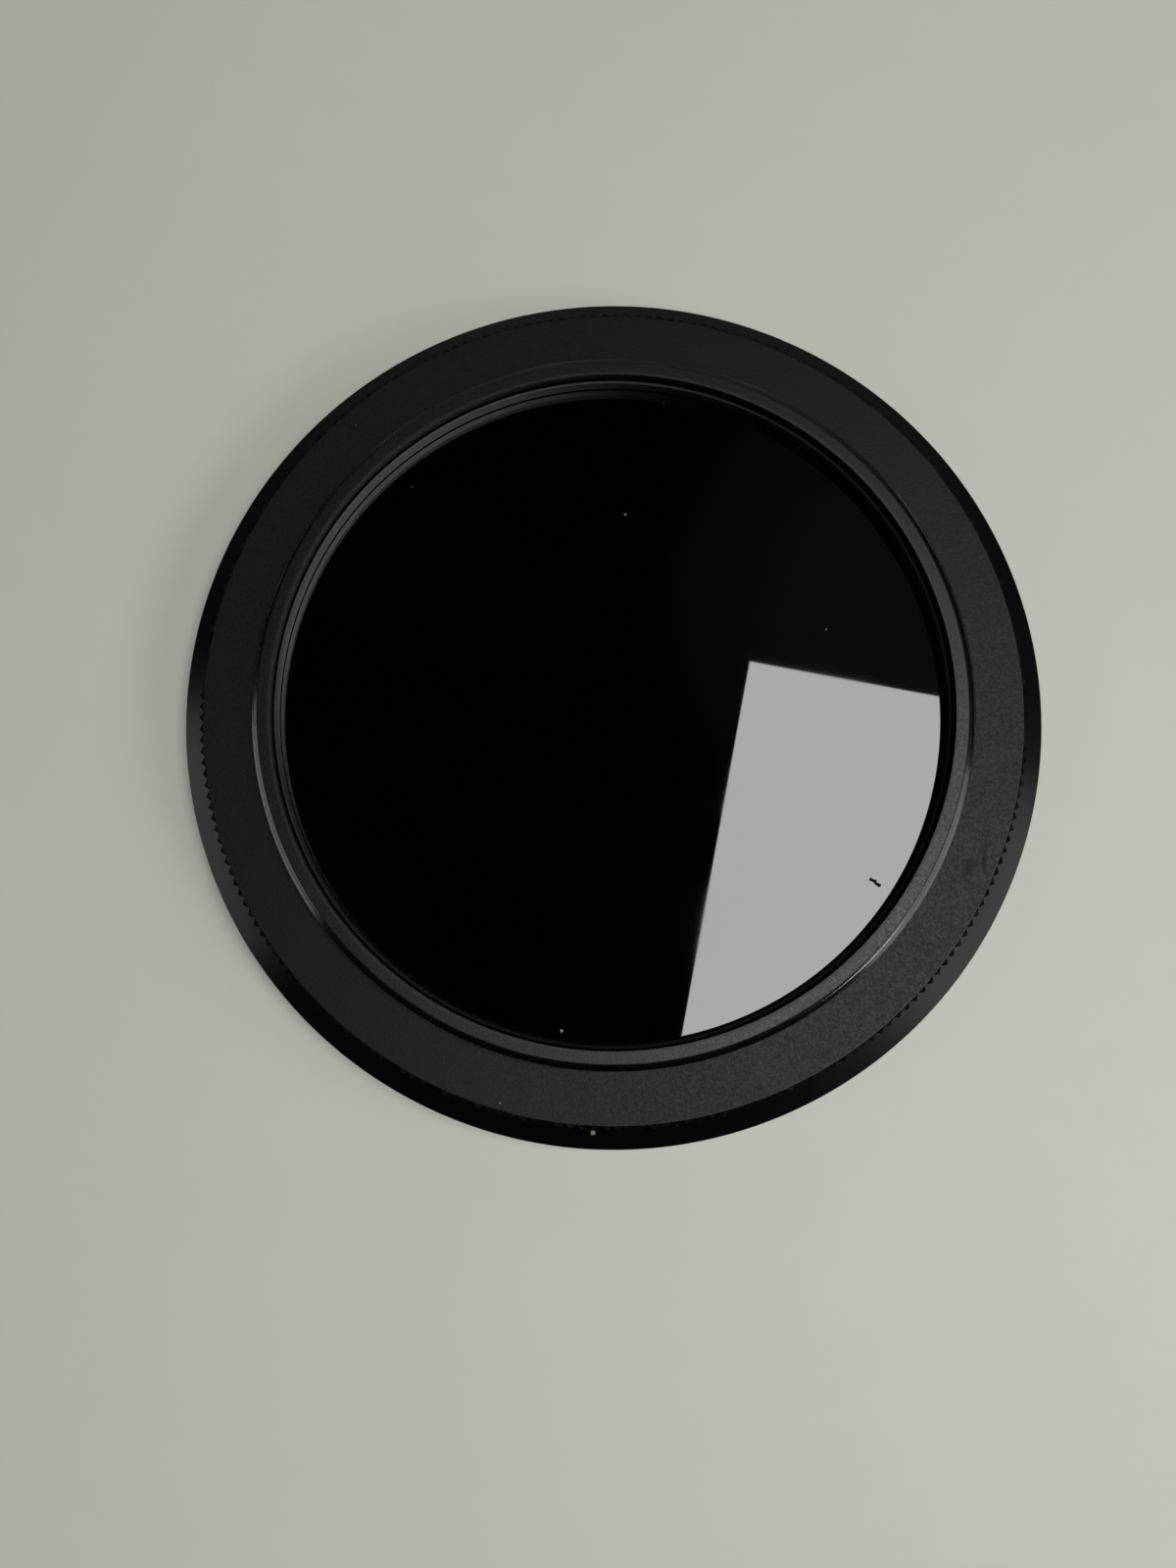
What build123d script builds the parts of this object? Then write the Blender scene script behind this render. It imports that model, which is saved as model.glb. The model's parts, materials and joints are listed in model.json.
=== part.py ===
from build123d import *
import os
from math import atan2, degrees, pi

# A variable neutral-density filter that screws into a lens. It lies on its front face, lens side up.
# A rear ring carries the lens thread. A wider front ring turns on its hub and is held by a split spring ring.
# Each ring holds a polariser, a film bonded between two glasses, that a slotted ring screws against its seat.
# Z = 0 is the front face. All sizes are millimetres, and all pieces are turned about Z.

# Standard screw sizes
lens_thread_nominal = 67.0
thread_step_up = 10.0
thread_allowance = 0.05

# Clearances
running_clearance = 0.05
turning_gap = 0.1
lip_gap = 0.15
plate_clearance = 0.1
retainer_clearance = 0.05

# Polarisers
glass_thickness = 0.6
film_thickness = 0.2

# Collar with the lens thread, on the rear ring
collar_height = 1.9
collar_wall = 1.87
collar_lead_run = 0.73
collar_lead_drop = 0.49
collar_inner_chamfer = 0.26
relief_depth = 0.45
relief_width = 0.4
ledge_width = 0.28
ledge_depth = 1.25

# Flange with the straight knurl, on the rear ring
flange_thickness = 1.2
rim_overhang = 2.15
knurl_pitch = 1.08
knurl_depth = 0.47
knurl_land = 0.1
knurl_top_run = 0.45
knurl_top_drop = 0.3

# Hub of the rear ring, with its polariser seat
rear_seat_width = 1.1
rear_retainer_step = 0.5
rear_retainer_height = 0.6
rear_retainer_width = 1.45
hub_wall = 3.0
hub_height = 1.5

# Front ring
rim_wall = 2.5
front_edge_chamfer = 0.4
cone_run = 2.4
cone_rise = 1.25
front_thread_depth = 2.0
front_mouth_chamfer = 0.3
front_seat_width = 1.2
front_lip_width = 1.6
front_lip_thickness = 0.5
front_retainer_step = 0.6
front_retainer_height = 0.8
front_retainer_width = 1.65

# Spanner slots of the retaining rings
slot_width = 1.6
slot_depth = 0.35
retainer_chamfer = 0.2

# Spring ring and its two grooves
spring_height = 0.5
spring_gap = 3.5
spring_clearance = 0.1
groove_depth = 0.6
groove_cover = 0.3

# Heights above the front face, from the front thread upwards
plate_thickness = 2 * glass_thickness + film_thickness
front_retainer_z = front_thread_depth
front_plate_z = front_retainer_z + front_retainer_height
front_seat_z = front_plate_z + plate_thickness
lip_top_z = front_seat_z + front_lip_thickness
hub_bottom_z = lip_top_z + lip_gap
rear_plate_z = hub_bottom_z + rear_retainer_height
rear_seat_z = rear_plate_z + plate_thickness
flange_bottom_z = hub_bottom_z + hub_height
flange_top_z = flange_bottom_z + flange_thickness
collar_top_z = flange_top_z + collar_height
ledge_z = collar_top_z - ledge_depth
front_top_z = flange_bottom_z - turning_gap
rim_edge_z = front_top_z - cone_rise
groove_top_z = front_top_z - groove_cover
groove_bottom_z = groove_top_z - spring_height - spring_clearance
hub_groove_bottom_z = groove_bottom_z - spring_clearance

# Radii, from the lens thread inwards to the glass and then outwards through the hub
thread_r = lens_thread_nominal / 2 - thread_allowance
relief_r = thread_r - relief_depth
collar_bore_r = thread_r - collar_wall
rear_aperture_r = collar_bore_r - ledge_width
rear_plate_r = rear_aperture_r + rear_seat_width
rear_pocket_r = rear_plate_r + plate_clearance
rear_retainer_bore_r = rear_pocket_r + rear_retainer_step
hub_r = rear_retainer_bore_r + hub_wall
hub_groove_r = hub_r - groove_depth

# Radii of the front ring
hub_bore_r = hub_r + running_clearance
bore_groove_r = hub_bore_r + groove_depth
front_aperture_r = hub_r - front_lip_width
front_plate_r = front_aperture_r + front_seat_width
front_pocket_r = front_plate_r + plate_clearance
front_retainer_bore_r = front_pocket_r + front_retainer_step
front_thread_r = (lens_thread_nominal + thread_step_up) / 2
rim_r = front_thread_r + rim_wall
cone_top_r = rim_r - cone_run

# Radii of the knurled flange
knurl_tip_r = rim_r - rim_overhang
knurl_teeth = round(2 * pi * knurl_tip_r / knurl_pitch)

os.makedirs("parts", exist_ok=True)


def disc(label, radius, bottom, thickness):
    with BuildPart() as plate:
        with BuildSketch(Plane.XY.offset(bottom)):
            Circle(radius)
        extrude(amount=thickness)
    plate.part.label = label
    export_step(plate.part, f"parts/{label}.step")


def polariser(side, outer_below, radius, bottom):
    # Two glasses with the film between them, named from the side that faces out of the filter
    lower, upper = ("outer", "inner") if outer_below else ("inner", "outer")
    film_z = bottom + glass_thickness
    disc(f"{side}_{lower}_glass", radius, bottom, glass_thickness)
    disc(f"{side}_film", radius, film_z, film_thickness)
    disc(f"{side}_{upper}_glass", radius, film_z + film_thickness, glass_thickness)


def retaining_ring(label, outer_r, width, bottom, height):
    # Flat screwed ring with a chamfered bore and two spanner slots across its lower face
    inner_r = outer_r - width
    with BuildPart() as ring:
        with BuildSketch(Plane.XZ):
            with BuildLine():
                Polyline(
                    (inner_r, bottom + height),
                    (outer_r, bottom + height),
                    (outer_r, bottom),
                    (inner_r + retainer_chamfer, bottom),
                    (inner_r, bottom + retainer_chamfer),
                    close=True,
                )
            make_face()
        revolve(axis=Axis.Z)
        with BuildSketch(Plane.XY.offset(bottom)):
            with PolarLocations(outer_r - width / 2, 2):
                Rectangle(3 * width, slot_width)
        extrude(amount=slot_depth, mode=Mode.SUBTRACT)
    ring.part.label = label
    export_step(ring.part, f"parts/{label}.step")


# Rear ring: collar, flange and hub turned as one piece, with the straight knurl cut round the flange
with BuildPart() as rear_ring:
    # The flange starts with one flat per tooth, and each flat is bevelled at the top
    with BuildSketch(Plane.XY.offset(flange_bottom_z)):
        RegularPolygon(knurl_tip_r, knurl_teeth, major_radius=False)
    extrude(amount=flange_thickness - knurl_top_drop)
    with BuildSketch(Plane.XY.offset(flange_top_z - knurl_top_drop)):
        RegularPolygon(knurl_tip_r, knurl_teeth, major_radius=False)
    extrude(amount=knurl_top_drop, taper=degrees(atan2(knurl_top_run, knurl_top_drop)))
    with BuildSketch(Plane.XY.offset(flange_bottom_z)):
        Circle(relief_r)
    extrude(amount=flange_thickness, mode=Mode.SUBTRACT)

    # V-shaped grooves at the corners between the flats leave teeth with a narrow land on their tips
    half_groove = (2 * pi * knurl_tip_r / knurl_teeth - knurl_land) / 2
    with BuildSketch(Plane.XY.offset(flange_bottom_z)):
        with PolarLocations(knurl_tip_r, knurl_teeth):
            Polygon(
                (-knurl_depth, 0),
                (0, half_groove),
                (knurl_depth, half_groove),
                (knurl_depth, -half_groove),
                (0, -half_groove),
            )
    extrude(amount=flange_thickness, mode=Mode.SUBTRACT)

    # Collar above the flange, hub below it, and the stepped bore with the polariser's seat
    with BuildSketch(Plane.XZ):
        with BuildLine():
            Polyline(
                (collar_bore_r + collar_inner_chamfer, collar_top_z),
                (thread_r - collar_lead_run, collar_top_z),
                (thread_r, collar_top_z - collar_lead_drop),
                (thread_r, flange_top_z + relief_width),
                (relief_r, flange_top_z + relief_width),
                (relief_r, flange_top_z),
                (hub_r, flange_top_z),
                (hub_r, groove_top_z),
                (hub_groove_r, groove_top_z),
                (hub_groove_r, hub_groove_bottom_z),
                (hub_r, hub_groove_bottom_z),
                (hub_r, hub_bottom_z),
                (rear_retainer_bore_r, hub_bottom_z),
                (rear_retainer_bore_r, rear_plate_z),
                (rear_pocket_r, rear_plate_z),
                (rear_pocket_r, rear_seat_z),
                (rear_aperture_r, rear_seat_z),
                (rear_aperture_r, ledge_z),
                (collar_bore_r, ledge_z),
                (collar_bore_r, collar_top_z - collar_inner_chamfer),
                close=True,
            )
        make_face()
    revolve(axis=Axis.Z)
rear_ring.part.label = "rear_ring"
export_step(rear_ring.part, "parts/rear_ring.step")

# Front ring: plain rim, sloping band up to the flange, bearing bore with its groove, lip and front thread bore
with BuildPart() as front_ring:
    with BuildSketch(Plane.XZ):
        with BuildLine():
            Polyline(
                (front_thread_r + front_mouth_chamfer, 0),
                (rim_r - front_edge_chamfer, 0),
                (rim_r, front_edge_chamfer),
                (rim_r, rim_edge_z),
                (cone_top_r, front_top_z),
                (hub_bore_r, front_top_z),
                (hub_bore_r, groove_top_z),
                (bore_groove_r, groove_top_z),
                (bore_groove_r, groove_bottom_z),
                (hub_bore_r, groove_bottom_z),
                (hub_bore_r, lip_top_z),
                (front_aperture_r, lip_top_z),
                (front_aperture_r, front_seat_z),
                (front_pocket_r, front_seat_z),
                (front_pocket_r, front_plate_z),
                (front_retainer_bore_r, front_plate_z),
                (front_retainer_bore_r, front_retainer_z),
                (front_thread_r, front_retainer_z),
                (front_thread_r, front_mouth_chamfer),
                close=True,
            )
        make_face()
    revolve(axis=Axis.Z)
front_ring.part.label = "front_ring"
export_step(front_ring.part, "parts/front_ring.step")

# Spring ring: flat split ring that lies on the floor of the front ring's groove and reaches into the hub's groove
with BuildPart() as spring_ring:
    with BuildSketch(Plane.XY.offset(groove_bottom_z)):
        Circle(bore_groove_r - running_clearance)
        Circle(hub_groove_r + spring_clearance, mode=Mode.SUBTRACT)
        with Locations((0, hub_r)):
            Rectangle(spring_gap, 4 * groove_depth, mode=Mode.SUBTRACT)
    extrude(amount=spring_height)
spring_ring.part.label = "spring_ring"
export_step(spring_ring.part, "parts/spring_ring.step")

polariser("rear", False, rear_plate_r, rear_plate_z)
polariser("front", True, front_plate_r, front_plate_z)
retaining_ring(
    "rear_retaining_ring",
    rear_retainer_bore_r - retainer_clearance,
    rear_retainer_width,
    hub_bottom_z,
    rear_retainer_height,
)
retaining_ring(
    "front_retaining_ring",
    front_retainer_bore_r - retainer_clearance,
    front_retainer_width,
    front_retainer_z,
    front_retainer_height,
)
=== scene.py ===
import json
import math
import bpy
import numpy as np
from mathutils import Matrix, Vector


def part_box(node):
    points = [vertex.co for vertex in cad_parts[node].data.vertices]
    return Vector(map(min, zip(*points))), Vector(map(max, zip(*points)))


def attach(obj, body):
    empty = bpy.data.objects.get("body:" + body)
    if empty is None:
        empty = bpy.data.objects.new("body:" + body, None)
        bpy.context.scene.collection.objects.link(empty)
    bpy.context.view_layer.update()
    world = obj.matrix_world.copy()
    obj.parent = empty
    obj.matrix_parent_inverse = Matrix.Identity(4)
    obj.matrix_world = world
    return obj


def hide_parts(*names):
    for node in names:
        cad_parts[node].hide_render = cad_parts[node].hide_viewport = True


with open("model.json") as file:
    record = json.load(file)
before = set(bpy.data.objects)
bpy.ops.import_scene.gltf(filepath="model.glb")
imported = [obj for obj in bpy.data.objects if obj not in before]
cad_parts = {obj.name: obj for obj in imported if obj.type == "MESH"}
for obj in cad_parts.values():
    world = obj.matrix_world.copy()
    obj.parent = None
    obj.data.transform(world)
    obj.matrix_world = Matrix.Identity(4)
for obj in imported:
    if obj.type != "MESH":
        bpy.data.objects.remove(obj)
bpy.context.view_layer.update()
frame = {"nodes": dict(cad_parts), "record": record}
mm = 0.001
print("frame loaded:", sorted(frame["nodes"]))

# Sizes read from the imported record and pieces, in millimetres
mounts = {m["name"]: m for m in frame["record"]["mounts"]}
lensRadius = mounts["lens_thread"]["dims"]["r_mm"]
frontRadius = mounts["front_thread"]["dims"]["r_mm"]
rearLow, rearHigh = (np.array(corner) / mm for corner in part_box("rear_ring"))
frontHigh = np.array(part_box("front_ring")[1]) / mm
glassHigh = np.array(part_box("rear_outer_glass")[1]) / mm
rearHolderHigh = np.array(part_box("rear_retaining_ring")[1]) / mm
frontHolderLow, frontHolderHigh = (np.array(corner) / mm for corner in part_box("front_retaining_ring"))
frontGlassHigh = np.array(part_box("front_inner_glass")[1]) / mm
springLow, springHigh = (np.array(corner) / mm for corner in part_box("spring_ring"))


# Mesh tools

def meshObject(name, points, faces, normals, layers, materials, skin=None):
    # points (n, 3) in millimetres, faces (f, 4) point numbers, normals (f, 4, 3),
    # layers: name and one value per point, skin: the place in the materials list for each face
    mesh = bpy.data.meshes.new(name)
    mesh.vertices.add(len(points))
    mesh.vertices.foreach_set("co", (points * mm).astype(np.float32).ravel())
    mesh.loops.add(faces.size)
    mesh.loops.foreach_set("vertex_index", faces.astype(np.int32).ravel())
    mesh.polygons.add(len(faces))
    mesh.polygons.foreach_set("loop_start", np.arange(0, faces.size, 4, dtype=np.int32))
    for layer, values in layers.items():
        attribute = mesh.attributes.new(layer, "FLOAT", "POINT")
        attribute.data.foreach_set("value", values.astype(np.float32).ravel())
    mesh.update(calc_edges=True)
    mesh.validate()
    if normals is not None:
        mesh.normals_split_custom_set(normals.reshape(-1, 3).tolist())
    for material in materials:
        mesh.materials.append(material)
    if skin is not None:
        mesh.polygons.foreach_set("material_index", skin.astype(np.int32).ravel())
    obj = bpy.data.objects.new(name, mesh)
    bpy.context.scene.collection.objects.link(obj)
    return obj


def softProfile(corners, steps):
    # A corner C with setback t becomes a short parabola C + t((1-s)^2 a + s^2 b), where a and b are the
    # unit directions to its neighbours, and the edge value is 1 inside that curve. A corner with no setback
    # stays one point and keeps its own edge value. The normals of clockwise corners point outwards.
    place = corners[:, :2]
    toLast = np.roll(place, 1, 0) - place
    toNext = np.roll(place, -1, 0) - place
    a = toLast / np.linalg.norm(toLast, axis=1, keepdims=True)
    b = toNext / np.linalg.norm(toNext, axis=1, keepdims=True)
    s = np.linspace(0, 1, steps)[None, :, None]
    setback = corners[:, 2][:, None, None]
    curve = place[:, None] + setback * ((1 - s) ** 2 * a[:, None] + s ** 2 * b[:, None])
    heading = s * b[:, None] - (1 - s) * a[:, None]
    heading = heading / np.linalg.norm(heading, axis=2, keepdims=True)
    normal = np.stack([-heading[..., 1], heading[..., 0]], -1)
    which = np.repeat(np.arange(len(corners))[:, None], steps, 1)
    soft = corners[:, 2][:, None] > 0
    keep = soft | (np.arange(steps)[None, :] == 0)
    inside = (np.arange(steps) % (steps - 1) > 0)[None, :] & keep
    edge = np.where(soft, inside, corners[:, 3][:, None])
    return curve[keep], normal[keep], which[keep], edge[keep]


def aroundAxis(radius, angle, height):
    # (r cos a, r sin a, z) for arrays that broadcast together
    x, y, z = np.broadcast_arrays(radius * np.cos(angle), radius * np.sin(angle), height)
    return np.stack([x, y, z], -1)


def gridFaces(rows, columns):
    # Quads of a closed grid that wraps both ways: (i, j), (i+1, j), (i+1, j+1), (i, j+1)
    i, j = np.meshgrid(np.arange(rows), np.arange(columns), indexing="ij")
    up, on = (i + 1) % rows, (j + 1) % columns
    quads = [i * columns + j, up * columns + j, up * columns + on, i * columns + on]
    return np.stack(quads, -1).reshape(-1, 4)


def turnedNormals(normal, angle):
    # The profile's own normals carried round the axis, one for each corner of each quad
    ring = aroundAxis(normal[:, :1], angle, normal[:, 1:]).reshape(-1, 3)
    return ring[gridFaces(*angle.shape)]


# Node tools

def feed(tree, socket, value):
    # Another node's output is linked, and a plain value is set
    if isinstance(value, bpy.types.NodeSocket):
        tree.links.new(value, socket)
    else:
        socket.default_value = value


def addNode(tree, kind, inputs=None, **settings):
    node = tree.nodes.new(kind)
    for key, value in settings.items():
        setattr(node, key, value)
    for key, value in (inputs or {}).items():
        feed(tree, node.inputs[key], value)
    return node


def calc(tree, operation, a, b=0.0, clamp=False):
    return addNode(tree, "ShaderNodeMath", {0: a, 1: b}, operation=operation, use_clamp=clamp).outputs[0]


def dotFlat(tree, a, b):
    # ax bx + ay by
    return calc(tree, "ADD", calc(tree, "MULTIPLY", a[0], b[0]), calc(tree, "MULTIPLY", a[1], b[1]))


def lengthFlat(tree, a):
    return calc(tree, "SQRT", dotFlat(tree, a, a))


def takeFlat(tree, a, b):
    # (ax - bx, ay - by)
    return [calc(tree, "SUBTRACT", a[k], b[k]) for k in (0, 1)]


def blendColour(tree, factor, a, b):
    node = addNode(tree, "ShaderNodeMix", {0: factor}, data_type="RGBA")
    for key, colour in ((6, a), (7, b)):
        feed(tree, node.inputs[key], (*colour, 1.0) if isinstance(colour, tuple) else colour)
    return node.outputs[2]


def span(tree, value, low, high, toLow=0.0, toHigh=1.0):
    ends = {0: value, 1: low, 2: high, 3: toLow, 4: toHigh}
    return addNode(tree, "ShaderNodeMapRange", ends).outputs[0]


def objectPlace(tree):
    return addNode(tree, "ShaderNodeTexCoord").outputs["Object"]


def parts(tree, vector):
    return addNode(tree, "ShaderNodeSeparateXYZ", {0: vector}).outputs


def noise(tree, inputs, **settings):
    return addNode(tree, "ShaderNodeTexNoise", inputs, **settings).outputs[0]


def newGroup(name, inputs, outputs):
    tree = bpy.data.node_groups.new(name, "ShaderNodeTree")
    for label, value in inputs.items():
        socket = tree.interface.new_socket(label, in_out="INPUT", socket_type="NodeSocketFloat")
        socket.default_value = value
    for label in outputs:
        tree.interface.new_socket(label, in_out="OUTPUT", socket_type="NodeSocketFloat")
    return tree, tree.nodes.new("NodeGroupInput").outputs, tree.nodes.new("NodeGroupOutput").inputs


def fillGroup(tree, group, values):
    return addNode(tree, "ShaderNodeGroup", values, node_tree=group).outputs


# Shared shader groups

surfaceDetail = {
    "noiseMiddle": (0.3, 0.7), "cloudsPerMetre": 160.0, "lineLean": 1.37, "rubBorder": (0.42, 0.7),
    "dustPower": 3.0, "dustFacing": (0.5, 0.9), "speckRags": 6000.0, "speckSpread": (0.7, 1.3),
    "speckCore": 0.6, "strokeRags": 3000.0, "strokeSpread": (0.6, 1.4), "smudgeTurn": 0.6,
    "smudgeStretch": 2.2, "smudgeBorder": (0.5, 0.72),
}


def blastGrainGroup(s):
    # Bead-blasted skin: pits from coarse to fine, and a slower cloudiness
    tree, given, result = newGroup("blastGrain", {"Pits per metre": 2600.0}, ["Height", "Cloud"])
    place = objectPlace(tree)
    pits = noise(tree, {"Vector": place, "Scale": given[0], "Detail": 3.0, "Roughness": 0.85})
    cloud = noise(tree, {"Vector": place, "Scale": s["cloudsPerMetre"], "Detail": 4.0, "Roughness": 0.6})
    tree.links.new(pits, result["Height"])
    tree.links.new(cloud, result["Cloud"])
    return tree


def turnedLinesGroup(s):
    # Tool marks that run round the axis: noise read along the radius and the height only
    tree, given, result = newGroup("turnedLines", {"Lines per metre": 9000.0}, ["Height"])
    place = parts(tree, objectPlace(tree))
    along = calc(tree, "ADD", lengthFlat(tree, place), calc(tree, "MULTIPLY", place[2], s["lineLean"]))
    lines = noise(tree, {"W": along, "Scale": given[0], "Detail": 3.0}, noise_dimensions="1D")
    tree.links.new(lines, result["Height"])
    return tree


def edgeRubGroup(s):
    # Edges rubbed bright in patches: the edge layer cut up by noise
    tree, given, result = newGroup("edgeRub", {"Amount": 0.5, "Patches per metre": 900.0}, ["Mask"])
    edge = addNode(tree, "ShaderNodeAttribute", attribute_name="edge").outputs["Fac"]
    patches = noise(tree, {"Vector": objectPlace(tree), "Scale": given[1], "Detail": 4.0})
    worn = calc(tree, "MULTIPLY", span(tree, patches, *s["rubBorder"]), edge)
    tree.links.new(calc(tree, "MULTIPLY", worn, given[0], True), result["Mask"])
    return tree


def looseDustGroup(s):
    # Sparse specks: one for some cells of a voronoi pattern, each with its own size, on faces that look up
    start = {"Cells per metre": 260.0, "Speck": 0.03, "Share": 0.4}
    tree, given, result = newGroup("looseDust", start, ["Mask"])
    cells = addNode(tree, "ShaderNodeTexVoronoi", {"Vector": objectPlace(tree), "Scale": given[0]}).outputs
    chance = addNode(tree, "ShaderNodeSeparateColor", {0: cells["Color"]}).outputs
    size = calc(tree, "MULTIPLY", calc(tree, "POWER", chance[0], s["dustPower"]), given[1])
    speck = calc(tree, "LESS_THAN", cells["Distance"], size)
    shown = calc(tree, "LESS_THAN", chance[1], given[2])
    facing = parts(tree, addNode(tree, "ShaderNodeNewGeometry").outputs["Normal"])
    upward = span(tree, facing[2], *s["dustFacing"])
    tree.links.new(calc(tree, "MULTIPLY", calc(tree, "MULTIPLY", speck, shown), upward), result["Mask"])
    return tree


def placedSpeckGroup(s):
    # One ragged speck round (X, Y): its radius is stretched and shrunk by noise
    start = {"X": 0.0, "Y": 0.0, "Radius": 0.00015, "Strength": 1.0}
    tree, given, result = newGroup("placedSpeck", start, ["Mask"])
    place = objectPlace(tree)
    away = lengthFlat(tree, takeFlat(tree, parts(tree, place), given))
    ragged = noise(tree, {"Vector": place, "Scale": s["speckRags"], "Detail": 1.0})
    reach = calc(tree, "MULTIPLY", given[2], span(tree, ragged, *s["noiseMiddle"], *s["speckSpread"]))
    inside = span(tree, away, calc(tree, "MULTIPLY", reach, s["speckCore"]), reach, 1.0, 0.0)
    tree.links.new(calc(tree, "MULTIPLY", inside, given[3]), result["Mask"])
    return tree


def strokeGroup(s):
    # A short stroke from (X, Y) along (Run X, Run Y), full within Core times Radius of its line
    # and gone at Radius, which noise stretches and shrinks
    start = {"X": 0.0, "Y": 0.0, "Run X": 0.001, "Run Y": 0.0, "Radius": 0.0001, "Core": 0.7, "Strength": 1.0}
    tree, given, result = newGroup("stroke", start, ["Mask"])
    place = objectPlace(tree)
    offset = takeFlat(tree, parts(tree, place), given)
    run = given[2:4]
    share = calc(tree, "DIVIDE", dotFlat(tree, offset, run), dotFlat(tree, run, run), True)
    nearest = [calc(tree, "MULTIPLY", share, part) for part in run]
    away = lengthFlat(tree, takeFlat(tree, offset, nearest))
    ragged = noise(tree, {"Vector": place, "Scale": s["strokeRags"], "Detail": 1.0})
    reach = calc(tree, "MULTIPLY", given[4], span(tree, ragged, *s["noiseMiddle"], *s["strokeSpread"]))
    inside = span(tree, away, calc(tree, "MULTIPLY", reach, given[5]), reach, 1.0, 0.0)
    tree.links.new(calc(tree, "MULTIPLY", inside, given[6]), result["Mask"])
    return tree


def handSmudgeGroup(s):
    # Faint greasy marks: stretched noise with soft borders
    tree, given, result = newGroup("handSmudge", {"Marks per metre": 70.0}, ["Mask"])
    stretch = {"Vector": objectPlace(tree), "Rotation": (0.0, 0.0, s["smudgeTurn"]),
               "Scale": (1.0, s["smudgeStretch"], 1.0)}
    turned = addNode(tree, "ShaderNodeMapping", stretch).outputs[0]
    marks = noise(tree, {"Vector": turned, "Scale": given[0], "Detail": 6.0, "Distortion": 0.8})
    tree.links.new(span(tree, marks, *s["smudgeBorder"]), result["Mask"])
    return tree


blastGrain = blastGrainGroup(surfaceDetail)
turnedLines = turnedLinesGroup(surfaceDetail)
edgeRub = edgeRubGroup(surfaceDetail)
looseDust = looseDustGroup(surfaceDetail)
handSmudge = handSmudgeGroup(surfaceDetail)
placedSpeck = placedSpeckGroup(surfaceDetail)
stroke = strokeGroup(surfaceDetail)
print("shader groups made")


# Finishes

def newMaterial(name):
    material = bpy.data.materials.new(name)
    material.use_nodes = True
    tree = material.node_tree
    return material, tree, tree.nodes["Principled BSDF"]


def dustMask(tree, look):
    # Loose dust with the placed specks (x, y and radius in mm, strength) laid over it
    loose = {"Cells per metre": look["dustCells"], "Speck": look["dustSpeck"], "Share": look["dustShare"]}
    mask = fillGroup(tree, looseDust, loose)["Mask"]
    for x, y, radius, strength in look["specks"]:
        spot = {"X": x * mm, "Y": y * mm, "Radius": radius * mm, "Strength": strength}
        mask = calc(tree, "MAXIMUM", mask, fillGroup(tree, placedSpeck, spot)["Mask"])
    return mask


def withStrokes(tree, mask, strokes):
    # A mask with placed strokes (x, y, run x, run y and radius in mm, core, strength) laid over it
    for x, y, runX, runY, radius, core, strength in strokes:
        line = {"X": x * mm, "Y": y * mm, "Run X": runX * mm, "Run Y": runY * mm, "Radius": radius * mm,
                "Core": core, "Strength": strength}
        mask = calc(tree, "MAXIMUM", mask, fillGroup(tree, stroke, line)["Mask"])
    return mask


def bumpFrom(tree, shader, height, look):
    relief = {"Strength": look["bump"], "Distance": look["bumpDepth"] * mm, "Height": height}
    tree.links.new(addNode(tree, "ShaderNodeBump", relief).outputs[0], shader.inputs["Normal"])


def anodisedMaterial(name, look):
    # Black dyed oxide on aluminium, either bead blasted or turned
    material, tree, shader = newMaterial(name)
    grain = fillGroup(tree, blastGrain, {"Pits per metre": look["pits"]})
    rub = fillGroup(tree, edgeRub, {"Amount": look["rub"]})
    smudge = fillGroup(tree, handSmudge, {"Marks per metre": look["marks"]})
    specks = dustMask(tree, look)
    dye = blendColour(tree, grain["Cloud"], look["dyeDark"], look["dyeLight"])
    rubbed = blendColour(tree, rub["Mask"], dye, look["bareEdge"])
    tree.links.new(blendColour(tree, specks, rubbed, look["dustColour"]), shader.inputs["Base Color"])
    cloudy = calc(tree, "ADD", look["roughness"], calc(tree, "MULTIPLY", grain["Cloud"], look["cloud"]))
    greasy = calc(tree, "SUBTRACT", cloudy, calc(tree, "MULTIPLY", smudge["Mask"], look["grease"]))
    rough = calc(tree, "ADD", greasy, withStrokes(tree, specks, look["strokes"]), True)
    if look["blasted"]:
        height = grain["Height"]
        patches = span(tree, height, *surfaceDetail["noiseMiddle"], -look["patchy"], look["patchy"])
        rough = calc(tree, "ADD", rough, patches)
    else:
        height = fillGroup(tree, turnedLines, {"Lines per metre": look["lines"]})["Height"]
    tree.links.new(rough, shader.inputs["Roughness"])
    bumpFrom(tree, shader, height, look)
    shader.inputs["Specular IOR Level"].default_value = look["specular"]
    shader.inputs["Metallic"].default_value = look["metallic"]
    return material


def glassMaterial(name, look):
    # Polished coated glass that is black all through, with a faint film of grease and a few specks
    material, tree, shader = newMaterial(name)
    smudge = fillGroup(tree, handSmudge, {"Marks per metre": look["marks"]})
    specks = dustMask(tree, look)
    haze = blendColour(tree, smudge["Mask"], look["black"], look["haze"])
    tree.links.new(blendColour(tree, specks, haze, look["dustColour"]), shader.inputs["Base Color"])
    greasy = calc(tree, "ADD", look["roughness"], calc(tree, "MULTIPLY", smudge["Mask"], look["grease"]))
    rough = calc(tree, "ADD", greasy, withStrokes(tree, specks, look["strokes"]), True)
    tree.links.new(rough, shader.inputs["Roughness"])
    shader.inputs["IOR"].default_value = look["ior"]
    return material


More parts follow.
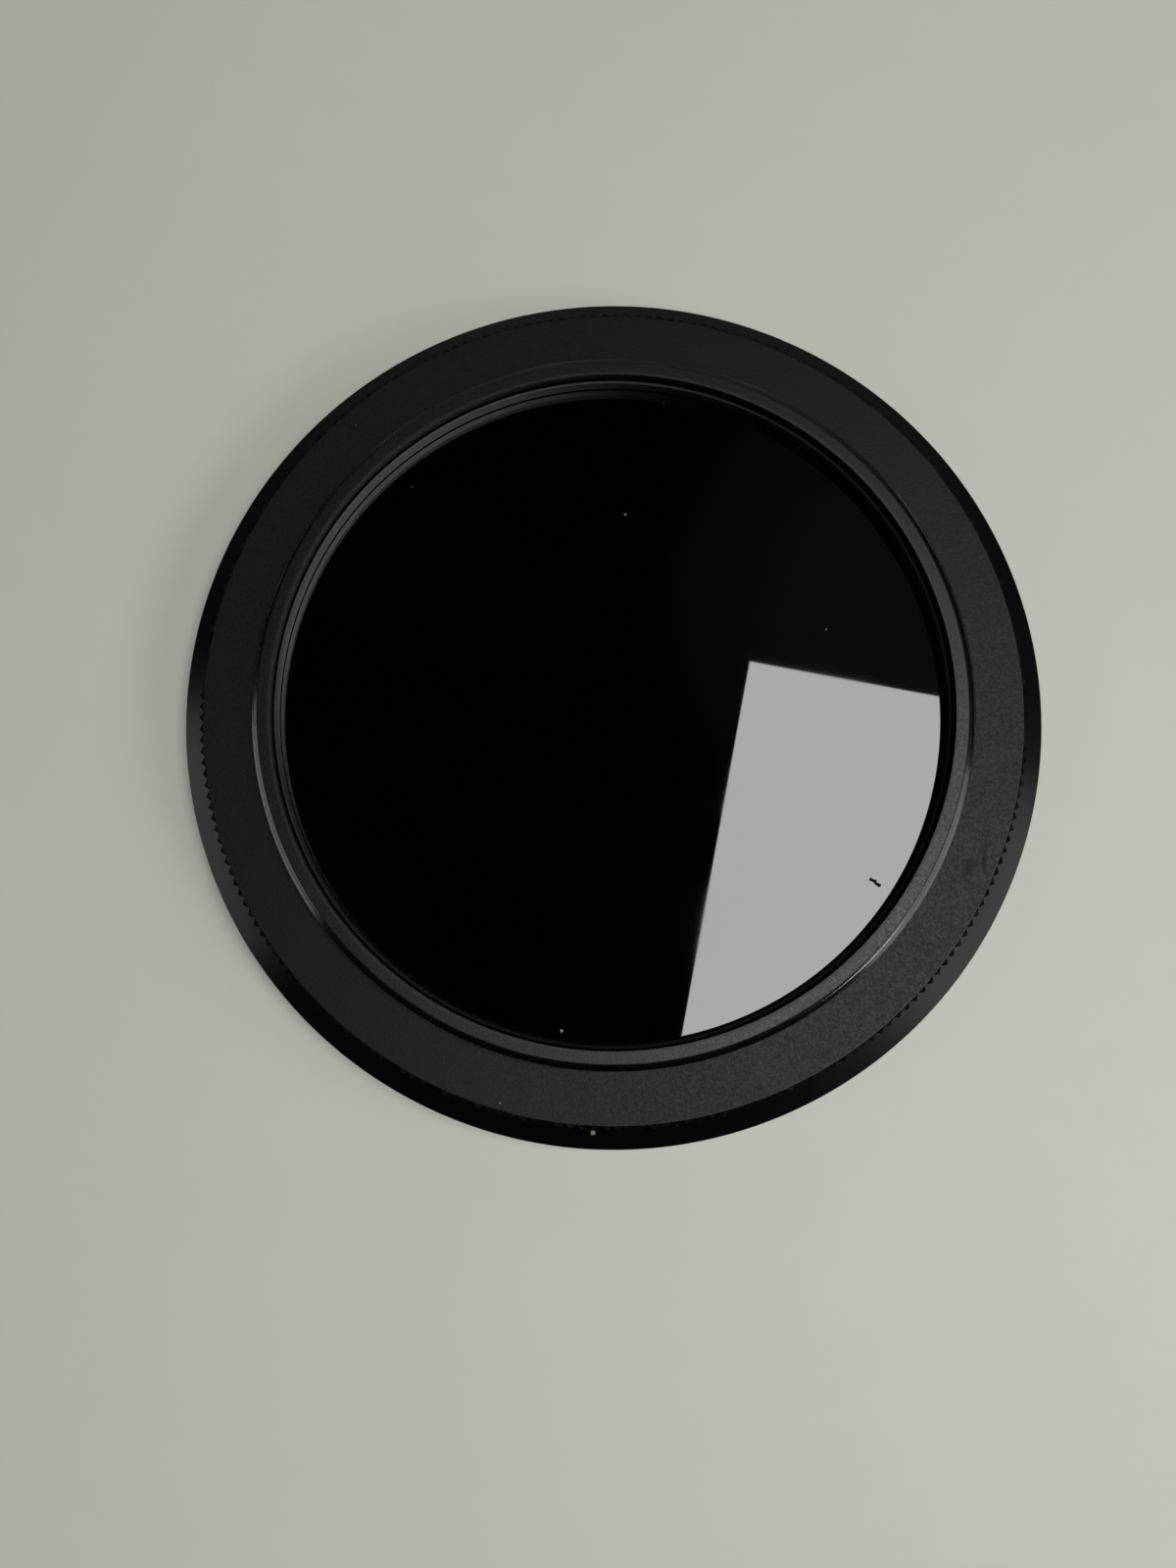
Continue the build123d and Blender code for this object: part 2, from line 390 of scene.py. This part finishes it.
def plainMaterial(name, look):
    # Inner pieces: one colour broken up by the blasted cloud and the turned lines
    material, tree, shader = newMaterial(name)
    cloud = fillGroup(tree, blastGrain, {})["Cloud"]
    lines = fillGroup(tree, turnedLines, {"Lines per metre": look["lines"]})["Height"]
    tree.links.new(blendColour(tree, cloud, look["dark"], look["light"]), shader.inputs["Base Color"])
    rough = calc(tree, "ADD", look["roughness"], calc(tree, "MULTIPLY", cloud, look["cloud"]))
    tree.links.new(rough, shader.inputs["Roughness"])
    bumpFrom(tree, shader, lines, look)
    shader.inputs["Metallic"].default_value = look["metallic"]
    return material


blastedLook = {
    "blasted": True, "pits": 3400.0, "patchy": 0.13, "rub": 0.15, "dustCells": 300.0, "dustSpeck": 0.03,
    "dustShare": 0.35, "marks": 70.0, "grease": 0.02, "dyeDark": (0.0019, 0.0019, 0.002),
    "dyeLight": (0.0023, 0.0023, 0.0024), "bareEdge": (0.06, 0.06, 0.06), "dustColour": (0.3, 0.3, 0.29),
    "roughness": 0.51, "cloud": 0.04, "bump": 0.6, "bumpDepth": 0.04, "specular": 0.22, "metallic": 0.0,
    "specks": [(-24.65, 27.54, 0.1, 0.13)],
    "strokes": [(34.2, -13.96, -0.06, -1.7, 0.3, 0.1, 0.16), (33.09, -14.77, -0.8, -1.16, 0.5, 0.0, 0.1),
                (34.69, -12.97, -0.3, -0.63, 0.2, 0.0, 0.1)],
}
collarLook = dict(blastedLook, roughness=0.42, patchy=0.1, specular=0.3, bump=0.35, specks=[], strokes=[])
turnedLook = dict(collarLook, blasted=False, lines=9000.0, dyeDark=(0.0004, 0.0004, 0.0005),
                  dyeLight=(0.0006, 0.0006, 0.0007), roughness=0.18, cloud=0.02, bump=0.18, specular=0.5)
leadLook = dict(turnedLook, dyeDark=(0.11, 0.11, 0.108), dyeLight=(0.14, 0.14, 0.137), roughness=0.15,
                metallic=1.0)
boreLook = dict(leadLook, roughness=0.34)
# A darker copy of the collar finish with almost no sheen: painted shade on the flange's teeth and in the
# bore's undercut, which are the same anodised black as the collar. Its speck is dust.
paintedShadeLook = dict(collarLook, dyeDark=(0.0005, 0.0005, 0.0006), dyeLight=(0.0008, 0.0008, 0.0009),
                 roughness=0.5, specular=0.02, specks=[(21.52, -32.22, 0.2, 0.3)])
frontLook = dict(turnedLook, roughness=0.22, rub=0.1, bump=0.15, dustColour=(0.4, 0.34, 0.25),
                 specks=[(-1.75, -39.29, 0.26, 0.5)])
glassLook = {
    "dustCells": 120.0, "dustSpeck": 0.014, "dustShare": 0.3, "marks": 45.0, "grease": 0.015,
    "black": (0.0002, 0.0002, 0.00025), "haze": (0.0006, 0.0006, 0.0006), "dustColour": (0.35, 0.34, 0.3),
    "roughness": 0.012, "ior": 1.5,
    "specks": [(1.41, 18.69, 0.15, 0.4), (-4.59, -30.07, 0.16, 0.6), (-19.24, 21.57, 0.12, 0.1),
               (5.16, 29.91, 0.12, 0.06), (20.38, 7.33, 0.13, 0.12)],
    "strokes": [(23.95, -16.3, 0.7, -0.52, 0.2, 0.7, 1.0)],
}
frontGlassLook = dict(glassLook, specks=[], strokes=[])
innerGlassLook = dict(frontGlassLook, dustShare=0.0)
holderLook = {"lines": 8000.0, "dark": (0.005, 0.005, 0.0055), "light": (0.009, 0.009, 0.0095),
              "roughness": 0.35, "cloud": 0.06, "bump": 0.3, "bumpDepth": 0.02, "metallic": 0.0}
filmLook = dict(holderLook, dark=(0.002, 0.002, 0.003), light=(0.003, 0.003, 0.004), roughness=0.1, bump=0.02)
springLook = dict(holderLook, dark=(0.4, 0.4, 0.41), light=(0.5, 0.5, 0.51), roughness=0.25, metallic=1.0)

blastedBlack = anodisedMaterial("blastedBlack", blastedLook)
collarBlack = anodisedMaterial("collarBlack", collarLook)
turnedBlack = anodisedMaterial("turnedBlack", turnedLook)
wornBlack = anodisedMaterial("wornBlack", leadLook)
boreBlack = anodisedMaterial("boreBlack", boreLook)
knurlBlack = anodisedMaterial("knurlBlack", paintedShadeLook)
frontBlack = anodisedMaterial("frontBlack", frontLook)
holderBlack = plainMaterial("holderBlack", holderLook)
rearGlass = glassMaterial("rearGlass", glassLook)
frontGlass = glassMaterial("frontGlass", frontGlassLook)
innerGlass = glassMaterial("innerGlass", innerGlassLook)
polarFilm = plainMaterial("polarFilm", filmLook)
springSteel = plainMaterial("springSteel", springLook)

nodeFinish = {
    "rear_outer_glass": rearGlass, "front_outer_glass": frontGlass, "rear_inner_glass": innerGlass,
    "front_inner_glass": innerGlass, "rear_film": polarFilm, "front_film": polarFilm,
    "rear_retaining_ring": holderBlack, "front_retaining_ring": holderBlack, "spring_ring": springSteel,
}
for nodeName, finish in nodeFinish.items():
    node = frame["nodes"][nodeName]
    node.data.materials.clear()
    node.data.materials.append(finish)
print("finishes made")


# Rear ring

rearRing = {  # millimetres, and degrees for the tilt
    "collarLead": (0.73, 0.41), "collarWall": 1.87, "innerBevel": (0.26, 0.02), "ledgeWidth": 0.28,
    "ledgeDepth": 1.25, "ledgeFall": 0.12, "undercut": (0.06, 0.38), "lipChamfer": 0.18, "threadDepth": 0.46,
    "flangeGap": 0.1, "flangeThickness": 1.2, "flatEdge": 0.08, "flatEdgeTilt": 25.0, "teeth": 226,
    "toothDepth": 0.47, "toothLand": 0.1, "toothBevel": (0.45, 0.3), "hubWall": 3.0, "grooveDepth": 0.6,
    "grooveSlack": 0.1, "holderClearance": 0.05, "plateClearance": 0.1, "soft": 0.05, "arcSteps": 4,
}
flangeTopZ = frontHigh[2] + rearRing["flangeGap"] + rearRing["flangeThickness"]


def makeRearRing(s):
    # A section turned round the axis: r = profile r, z = profile z. Its flange is cut into V-shaped teeth.
    collarTop, hubBottom, tip = rearHigh[2], rearLow[2], rearHigh[1]
    core = lensRadius - s["threadDepth"]
    bore = lensRadius - s["collarWall"]
    aperture = bore - s["ledgeWidth"]
    leadRun, leadDrop = s["collarLead"]
    bevelRun, bevelDrop = s["toothBevel"]
    innerRun, innerDrop = s["innerBevel"]
    nook, nookHeight = s["undercut"]
    flangeBottom = frontHigh[2] + s["flangeGap"]
    holderBore, holderTop = rearHolderHigh[0] + s["holderClearance"], rearHolderHigh[2]
    pocket, seat = glassHigh[0] + s["plateClearance"], glassHigh[2]
    hub = holderBore + s["hubWall"]
    groove = hub - s["grooveDepth"]
    grooveTop, grooveBottom = springHigh[2] + s["grooveSlack"], springLow[2] - s["grooveSlack"]
    leadStart = lensRadius - leadRun
    coreTop = collarTop - leadDrop * (core - leadStart) / leadRun
    ledge = collarTop - s["ledgeDepth"]
    soft = s["soft"]
    root = tip - s["toothDepth"]
    flat = tip - bevelRun
    # The faces marked cut, on the teeth and in the undercut, take the darker finish as painted shade
    materials = [blastedBlack, knurlBlack, turnedBlack, collarBlack, wornBlack, boreBlack]
    blasted, cut, turned, collar, worn, satin = range(len(materials))
    flatAt, bevelAt, bottomAt = 6, 7, 8  # places of the tooth's corners in the list
    corners = np.array([  # r, z, setback, edge, material of the faces that follow; clockwise
        (bore + innerRun, collarTop, soft, 0, collar),
        (leadStart, collarTop, soft, 0, collar),
        (leadStart + 2 * soft, collarTop - 2 * soft * leadDrop / leadRun, 0, 0, worn),
        (core, coreTop, 0.4 * soft, 0, turned),
        (core, flangeTopZ, soft, 0, blasted),
        (flat - s["flatEdge"], flangeTopZ, 0, 0, collar),
        # The tooth's bevel and sides: painted shade finish
        (flat, flangeTopZ, 0, 1, cut),
        (tip, flangeTopZ - bevelDrop, 0, 1, cut),
        (tip, flangeBottom, 0, 0, blasted),
        (hub, flangeBottom, soft, 0, turned),
        (hub, grooveTop, 0.5 * soft, 0, turned),
        (groove, grooveTop, 0.5 * soft, 0, turned),
        (groove, grooveBottom, 0.5 * soft, 0, turned),
        (hub, grooveBottom, 0.5 * soft, 0, turned),
        (hub, hubBottom, 2 * soft, 0, turned),
        (holderBore, hubBottom, soft, 0, turned),
        (holderBore, holderTop, 0.5 * soft, 0, turned),
        (pocket, holderTop, 0.5 * soft, 0, turned),
        (pocket, seat, 0.5 * soft, 0, turned),
        (aperture + s["lipChamfer"], seat, 0, 0, turned),
        (aperture, seat + s["lipChamfer"], 0.4 * soft, 0, satin),
        (aperture, ledge - s["ledgeFall"], 0.5 * soft, 0, collar),
        # The undercut's floor, wall and roof: painted shade finish
        (bore - nook, ledge, 0.4 * soft, 0, cut),
        (bore + nook, ledge - nook, 0, 0, cut),
        (bore + nook, ledge + nookHeight, 0, 0, cut),
        (bore, ledge + nookHeight + nook, 0.4 * soft, 0, collar),
        (bore, collarTop - innerDrop, 0.6 * soft, 0, collar),
    ])
    profile, normal, which, rounded = softProfile(corners, s["arcSteps"])
    flatRow, bevelRow, bottomRow = (int(np.argmax(which == k)) for k in (flatAt, bevelAt, bottomAt))

    # Three columns a tooth: both edges of its land, then the valley beside it
    pitch = 2 * math.pi / s["teeth"]
    halfLand = s["toothLand"] / tip / 2
    tooth = np.arange(s["teeth"])[:, None] * pitch
    column = (tooth + np.array([-halfLand, halfLand, pitch / 2])).ravel()
    valley = np.arange(column.size) % 3 == 2
    angle = np.repeat(column[None], len(profile), 0)
    radius = np.repeat(profile[:, :1], column.size, 1)
    # On the flat's edge the tooth is as wide as its V sides leave it
    wide = pitch / 2 - (flat - root) / s["toothDepth"] * (pitch / 2 - halfLand)
    angle[flatRow] = (tooth + np.array([-wide, wide, pitch / 2])).ravel()
    radius[np.ix_([flatRow, bevelRow, bottomRow], valley)] = root
    points = aroundAxis(radius, angle, profile[:, 1:]).reshape(-1, 3)

    rows, columns = angle.shape
    faces = gridFaces(rows, columns)
    normals = turnedNormals(normal, angle).reshape(rows, columns, 4, 3)
    # The flat's last strip is shaded as a small round: level on its inner side, tilted on its outer side
    tilt = math.radians(s["flatEdgeTilt"])
    outer = np.stack([angle[flatRow], np.roll(angle[flatRow], -1)], -1)
    normals[flatRow - 1] = (0, 0, 1)
    normals[flatRow - 1, :, 1:3] = aroundAxis(math.sin(tilt), outer, math.cos(tilt))
    normals[bottomRow] = (0, 0, -1)
    # Tooth sides and bevels are flat facets
    quad = points[faces].reshape(rows, columns, 4, 3)[flatRow:bottomRow]
    facet = np.cross(quad[..., 2, :] - quad[..., 0, :], quad[..., 3, :] - quad[..., 1, :])
    facet /= np.linalg.norm(facet, axis=-1, keepdims=True)
    normals[flatRow:bottomRow] = facet[..., None, :]
    edge = np.repeat(rounded[:, None], columns, 1)
    skin = np.repeat(corners[which, 4][:, None], columns, 1)
    return meshObject("rearRing", points, faces, normals, {"edge": edge}, materials, skin)


rearPiece = makeRearRing(rearRing)
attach(rearPiece, "mount_side")
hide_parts("rear_ring")
print("rear ring made:", len(rearPiece.data.polygons), "quads")


# Front ring

frontRing = {  # millimetres
    "edgeChamfer": 0.4, "coneRun": 2.4, "coneRise": 1.25, "runningClearance": 0.05, "grooveDepth": 0.6,
    "grooveSlack": 0.1, "lipWidth": 1.6, "lipThickness": 0.5, "plateClearance": 0.1, "holderClearance": 0.05,
    "mouthChamfer": 0.3, "soft": 0.06, "columns": 480, "arcSteps": 4,
}


def makeFrontRing(s):
    # A section turned round the axis: r = profile r, z = profile z
    rim, top = frontHigh[0], frontHigh[2]
    hub = rearHolderHigh[0] + s["holderClearance"] + rearRing["hubWall"]
    hubBore = hub + s["runningClearance"]
    groove = hubBore + s["grooveDepth"]
    lipBottom = frontGlassHigh[2]
    lipTop = lipBottom + s["lipThickness"]
    aperture = hub - s["lipWidth"]
    pocket = frontGlassHigh[0] + s["plateClearance"]
    holderBore = frontHolderHigh[0] + s["holderClearance"]
    holderTop, holderBottom = frontHolderHigh[2], frontHolderLow[2]
    grooveTop, grooveBottom = springHigh[2] + s["grooveSlack"], springLow[2]
    rimEdge = top - s["coneRise"]
    soft = s["soft"]
    corners = np.array([  # r, z, setback, edge; clockwise
        (frontRadius, s["mouthChamfer"], soft, 0),
        (frontRadius, holderBottom, soft, 0),
        (holderBore, holderBottom, soft, 0),
        (holderBore, holderTop, 0.5 * soft, 0),
        (pocket, holderTop, 0.5 * soft, 0),
        (pocket, lipBottom, 0.5 * soft, 0),
        (aperture, lipBottom, 0.5 * soft, 0),
        (aperture, lipTop, soft, 0),
        (hubBore, lipTop, 0.5 * soft, 0),
        (hubBore, grooveBottom, 0.5 * soft, 0),
        (groove, grooveBottom, 0.5 * soft, 0),
        (groove, grooveTop, 0.5 * soft, 0),
        (hubBore, grooveTop, 0.5 * soft, 0),
        (hubBore, top, soft, 0),
        (rim - s["coneRun"], top, soft, 0),
        (rim, rimEdge, 2 * soft, 0),
        (rim, s["edgeChamfer"], soft, 0),
        (rim - s["edgeChamfer"], 0, soft, 0),
        (frontRadius + s["mouthChamfer"], 0, soft, 0),
    ])
    profile, normal, _, rounded = softProfile(corners, s["arcSteps"])
    column = np.arange(s["columns"]) * 2 * math.pi / s["columns"]
    angle = np.repeat(column[None], len(profile), 0)
    points = aroundAxis(profile[:, :1], angle, profile[:, 1:]).reshape(-1, 3)
    edge = np.repeat(rounded[:, None], s["columns"], 1)
    faces = gridFaces(*angle.shape)
    return meshObject("frontRing", points, faces, turnedNormals(normal, angle), {"edge": edge}, [frontBlack])


frontPiece = makeFrontRing(frontRing)
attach(frontPiece, "turning_side")
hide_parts("front_ring")
print("front ring made:", len(frontPiece.data.polygons), "quads")


# Screw threads

threadForm = {  # millimetres, but base and crest are shares of the pitch, and the end's taper is in turns
    "pitch": 0.75, "depth": 0.46, "base": 0.86, "crest": 0.125, "sunk": 0.06, "flankSteps": 9,
    "stepsPerTurn": 360, "endTaper": 0.04, "endRise": 0.1, "skin": 0.004, "cutStep": 0.002,
}
lensScrew = {"inward": False, "aboveFlange": 0.72, "turns": 1.75, "startAngle": 340.0}
frontScrew = {"inward": True, "aboveMouth": -0.1, "turns": 1.95, "startAngle": 20.0}


def makeThread(name, s, screw, wall, startZ, cone, material):
    # A ridge with flanks at about 60 degrees carried along a right-handed helix: r = wall + rise outwards or
    # wall - rise inwards, z = startZ + pitch * turn. The cone is the chamfer that cuts it back.
    inward, turns = screw["inward"], screw["turns"]
    sign = -1.0 if inward else 1.0
    half, crest = s["base"] / 2, s["crest"] / 2
    flank = np.linspace(-half, -crest, s["flankSteps"])
    along = np.concatenate([[-half], flank, -flank[::-1], [half]])
    rise = s["depth"] * np.clip((half - np.abs(along)) / (half - crest), 0, 1)
    rise[[0, -1]] = -s["sunk"]
    count = int(turns * s["stepsPerTurn"])
    turn = np.linspace(0, turns, count)[:, None]
    taper = np.clip(np.minimum(turn, turns - turn) / s["endTaper"], s["endRise"], 1)
    grown = taper * np.maximum(rise, 0) + np.minimum(rise, 0)
    z = startZ + s["pitch"] * (turn + along)
    # Past the chamfer's end the points stay cutStep apart, so that no face loses its area
    order = s["cutStep"] * np.arange(along.size)
    z = np.maximum(z, cone["end"] + order) if inward else np.minimum(z, cone["end"] - order[::-1])
    limit = cone["radius"] - sign * (s["skin"] + cone["run"] * np.abs(z - cone["height"]))
    r = wall + sign * grown
    cut = np.maximum(r, limit) if inward else np.minimum(r, limit)
    r = np.where(sign * (z - cone["height"]) > 0, cut, r)
    angle = math.radians(screw["startAngle"]) + 2 * math.pi * turn
    points = aroundAxis(r, angle, z).reshape(-1, 3)
    sections = along.size
    i, j = np.meshgrid(np.arange(count - 1), np.arange(sections), indexing="ij")
    here, after = i * sections, (i + 1) * sections
    on = (j + 1) % sections
    quads = np.stack([here + j, after + j, after + on, here + on], -1).reshape(-1, 4)
    k = np.arange(sections // 2 - 1)
    startCap = np.stack([k, k + 1, sections - 2 - k, sections - 1 - k], -1)
    endCap = (startCap + (count - 1) * sections)[:, ::-1]
    faces = np.concatenate([quads, startCap, endCap])
    if inward:
        faces = faces[:, ::-1]
    return meshObject(name, points, faces, None, {"edge": np.zeros(len(points))}, [material])


leadRun, leadDrop = rearRing["collarLead"]
leadEnd = rearHigh[2] - leadDrop
lensCone = {"radius": lensRadius, "height": leadEnd, "run": leadRun / leadDrop,
            "end": leadEnd + threadForm["depth"] * leadDrop / leadRun}
lensThread = makeThread("lensThread", threadForm, lensScrew, lensRadius - threadForm["depth"],
                        flangeTopZ + lensScrew["aboveFlange"], lensCone, wornBlack)
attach(lensThread, "mount_side")
mouth = frontRing["mouthChamfer"]
frontCone = {"radius": frontRadius - threadForm["depth"], "height": mouth + threadForm["depth"], "run": 1.0,
             "end": mouth}
frontThread = makeThread("frontThread", threadForm, frontScrew, frontRadius, mouth + frontScrew["aboveMouth"],
                         frontCone, frontBlack)
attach(frontThread, "turning_side")
print("threads made")


# Floor, light and camera

floorLook = {"size": 2.4, "colour": (0.53, 0.536, 0.473), "shade": 0.97, "roughness": 0.6}


def makeFloor(s):
    half = s["size"] / 2 / mm
    points = np.array([(-half, -half, 0), (half, -half, 0), (half, half, 0), (-half, half, 0)], float)
    material, tree, shader = newMaterial("paleFloor")
    cloud = fillGroup(tree, blastGrain, {})["Cloud"]
    darker = tuple(s["shade"] * c for c in s["colour"])
    tree.links.new(blendColour(tree, cloud, darker, s["colour"]), shader.inputs["Base Color"])
    shader.inputs["Roughness"].default_value = s["roughness"]
    floor = meshObject("floor", points, np.array([(0, 1, 2, 3)]), None, {}, [material])


lamps = {  # radiance, size in metres, then the corner it hangs from, or its azimuth and elevation at 1 m
    "softbox": {"radiance": 10.0, "size": (0.26, 0.36), "corner": (0.0895, 0.1384, 0.6), "turn": -11.0},
    "key": {"radiance": 11.0, "size": (0.25, 0.22), "from": (325.0, 36.0)},
    "rightFill": {"radiance": 3.6, "size": (0.3, 0.25), "from": (0.0, 36.0)},
    "leftFill": {"radiance": 2.0, "size": (0.25, 0.22), "from": (190.0, 36.0)},
    "topFill": {"radiance": 0.7, "size": (0.5, 0.3), "from": (110.0, 30.0)},
    "leftStrip": {"radiance": 1.3, "size": (0.5, 0.14), "from": (187.0, 8.0)},
    "leftHigh": {"radiance": 0.75, "size": (0.66, 0.14), "from": (188.0, 17.0)},
    "rightStrip": {"radiance": 2.4, "size": (0.5, 0.14), "from": (338.0, 8.0)},
    "rightHigh": {"radiance": 1.0, "size": (0.66, 0.14), "from": (340.0, 17.5)},
}


def hungMatrix(lamp):
    # Level, set out from the corner whose mirror image shows in the glass
    turn = Matrix.Rotation(math.radians(lamp["turn"]), 4, "Z")
    centre = Matrix.Translation((lamp["size"][0] / 2, -lamp["size"][1] / 2, 0))
    return Matrix.Translation(lamp["corner"]) @ turn @ centre


def aimedMatrix(lamp):
    # At 1 m from the origin and turned towards it
    azimuth, elevation = (math.radians(a) for a in lamp["from"])
    level = math.cos(elevation)
    place = Vector((level * math.cos(azimuth), level * math.sin(azimuth), math.sin(elevation)))
    return Matrix.Translation(place) @ (-place).to_track_quat("-Z", "Y").to_matrix().to_4x4()


def makeLamps(s):
    for name, lamp in s.items():
        light = bpy.data.lights.new(name, "AREA")
        light.shape = "RECTANGLE"
        light.size, light.size_y = lamp["size"]
        light.energy = lamp["radiance"] * math.pi * lamp["size"][0] * lamp["size"][1]
        obj = bpy.data.objects.new(name, light)
        obj.matrix_world = hungMatrix(lamp) if "corner" in lamp else aimedMatrix(lamp)
        obj.visible_camera = False
        bpy.context.scene.collection.objects.link(obj)


skyLook = {
    "low": 0.014, "back": 0.075, "backBorder": (0.6, 0.95), "zenith": 0.008, "band": (0.1, 0.3), "glow": 0.07,
    "glowFrom": (0.26, 0.26, 0.93), "glowBorder": (0.975, 0.998), "tint": (1.0, 0.99, 0.96),
}


def makeSky(s):
    # A dim room: faint low light all round, a little more from +Y, and a faint patch high up
    world = bpy.data.worlds.new("studio")
    bpy.context.scene.world = world
    world.use_nodes = True
    tree = world.node_tree
    background = tree.nodes["Background"]
    look = addNode(tree, "ShaderNodeTexCoord").outputs["Generated"]
    part = parts(tree, look)
    low = calc(tree, "ADD", span(tree, part[1], *s["backBorder"], 0.0, s["back"]), s["low"])
    band = span(tree, part[2], *s["band"], low, s["zenith"])
    toPatch = addNode(tree, "ShaderNodeVectorMath", {0: look, 1: s["glowFrom"]}, operation="DOT_PRODUCT")
    patch = span(tree, toPatch.outputs["Value"], *s["glowBorder"], 0.0, s["glow"])
    tree.links.new(calc(tree, "ADD", band, patch), background.inputs["Strength"])
    background.inputs["Color"].default_value = (*s["tint"], 1.0)


cameraView = {"focalPixels": 1150.0, "longSide": 1600.0, "sensor": 36.0, "tilt": (6.567, 0.982),
              "place": (-0.38, -19.44, 111.57), "nearest": 1.0}


def makeCamera(s):
    camera = bpy.data.objects.new("camera", bpy.data.cameras.new("camera"))
    camera.data.sensor_width = s["sensor"]
    camera.data.lens = s["sensor"] * s["focalPixels"] / s["longSide"]
    camera.data.clip_start = s["nearest"] * mm
    tiltX, tiltY = (math.radians(t) for t in s["tilt"])
    place = Matrix.Translation([c * mm for c in s["place"]])
    camera.matrix_world = place @ Matrix.Rotation(tiltY, 4, "Y") @ Matrix.Rotation(tiltX, 4, "X")
    bpy.context.scene.collection.objects.link(camera)
    bpy.context.scene.camera = camera


makeFloor(floorLook)
makeLamps(lamps)
makeSky(skyLook)
makeCamera(cameraView)
bpy.context.scene.view_settings.view_transform = "Standard"
print("stage made")

bpy.context.view_layer.update()
